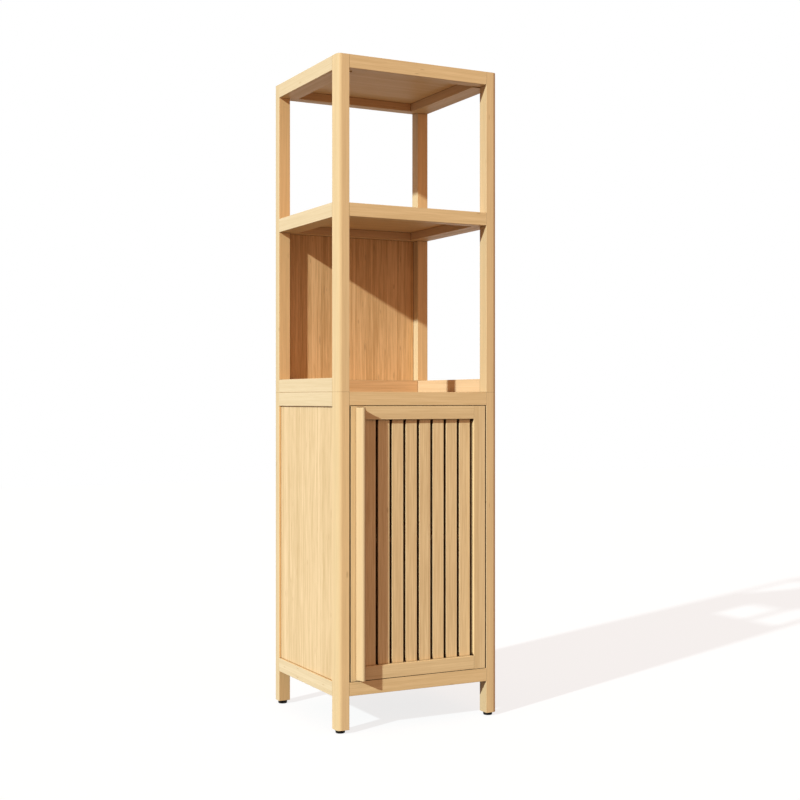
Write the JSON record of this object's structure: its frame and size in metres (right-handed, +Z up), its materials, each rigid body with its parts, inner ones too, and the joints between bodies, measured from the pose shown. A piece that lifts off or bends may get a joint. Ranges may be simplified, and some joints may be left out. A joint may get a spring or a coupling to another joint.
{
  "type": "bathroom cabinet",
  "caption": "Tall bamboo bathroom cabinet: an open rack with a framed shelf stacked on a cupboard with a slatted swing door, a long fin handle and screw-in feet.",
  "frame": {"origin": "on the floor, under the middle of the bounding box with the handle included", "axes": "+Z up, -Y to the front where the door is, +X to the right as seen from the front"},
  "size_m": [0.38, 0.363, 1.394],
  "materials": {
    "post_bamboo": "satin lacquer over upright bamboo strips",
    "rail_bamboo": "satin lacquer over bamboo strips laid along the rail",
    "board_bamboo": "satin lacquer over bamboo strips laid from left to right",
    "panel_bamboo": "satin lacquer over upright bamboo strips",
    "door_bamboo": "satin lacquer over bamboo",
    "hidden_bamboo": "sanded, not lacquered",
    "plated_steel": "zinc plated",
    "black_plastic": "moulded, matt"
  },
  "bodies": {
    "cabinet": {"base_board": "board_bamboo", "base_rail_front": "rail_bamboo", "base_rail_left": "rail_bamboo", "base_rail_rear": "rail_bamboo", "base_rail_right": "rail_bamboo", "catch_housing": "black_plastic", "catch_magnet": "plated_steel", "cupboard_back_panel": "panel_bamboo", "deck_board": "board_bamboo", "deck_rail_front": "rail_bamboo", "deck_rail_left": "rail_bamboo", "deck_rail_rear": "rail_bamboo", "deck_rail_right": "rail_bamboo", "inner_shelf": "board_bamboo", "leg_post_front_left": "post_bamboo", "leg_post_front_right": "post_bamboo", "leg_post_rear_left": "post_bamboo", "leg_post_rear_right": "post_bamboo", "pivot_bushes": "black_plastic", "rack_back_panel": "panel_bamboo", "rack_base_rail_left": "rail_bamboo", "rack_base_rail_rear": "rail_bamboo", "rack_base_rail_right": "rail_bamboo", "rack_post_front_left": "post_bamboo", "rack_post_front_right": "post_bamboo", "rack_post_rear_left": "post_bamboo", "rack_post_rear_right": "post_bamboo", "rail_tenons": "hidden_bamboo", "shelf_board": "board_bamboo", "shelf_cleat_left": "hidden_bamboo", "shelf_cleat_right": "hidden_bamboo", "shelf_rail_front": "rail_bamboo", "shelf_rail_left": "rail_bamboo", "shelf_rail_rear": "rail_bamboo", "shelf_rail_right": "rail_bamboo", "side_panel_left": "panel_bamboo", "side_panel_right": "panel_bamboo", "stacking_screws": "plated_steel", "top_board": "board_bamboo", "top_rail_front": "rail_bamboo", "top_rail_left": "rail_bamboo", "top_rail_rear": "rail_bamboo", "top_rail_right": "rail_bamboo"},
    "door": {"door_handle": "door_bamboo", "door_rail_bottom": "door_bamboo", "door_rail_top": "door_bamboo", "door_slats": "door_bamboo", "door_stile_left": "door_bamboo", "door_stile_right": "door_bamboo", "pivot_pins": "plated_steel", "strike_plate": "plated_steel"},
    "foot_front_left": {"foot_front_left": "black_plastic"},
    "foot_front_right": {"foot_front_right": "black_plastic"},
    "foot_rear_left": {"foot_rear_left": "black_plastic"},
    "foot_rear_right": {"foot_rear_right": "black_plastic"}
  },
  "joints": [
    {"name": "door_hinge", "type": "hinge", "parent": "cabinet", "child": "door", "pos_m": [0.1465, -0.1535, 0.1057], "axis": [0, 0, 1], "range_deg": [0, 120]},
    {"name": "foot_front_left_height", "type": "slide", "parent": "cabinet", "child": "foot_front_left", "axis": [0, 0, -1], "range_m": [0, 0.012]},
    {"name": "foot_front_right_height", "type": "slide", "parent": "cabinet", "child": "foot_front_right", "axis": [0, 0, -1], "range_m": [0, 0.012]},
    {"name": "foot_rear_left_height", "type": "slide", "parent": "cabinet", "child": "foot_rear_left", "axis": [0, 0, -1], "range_m": [0, 0.012]},
    {"name": "foot_rear_right_height", "type": "slide", "parent": "cabinet", "child": "foot_rear_right", "axis": [0, 0, -1], "range_m": [0, 0.012]}
  ]
}
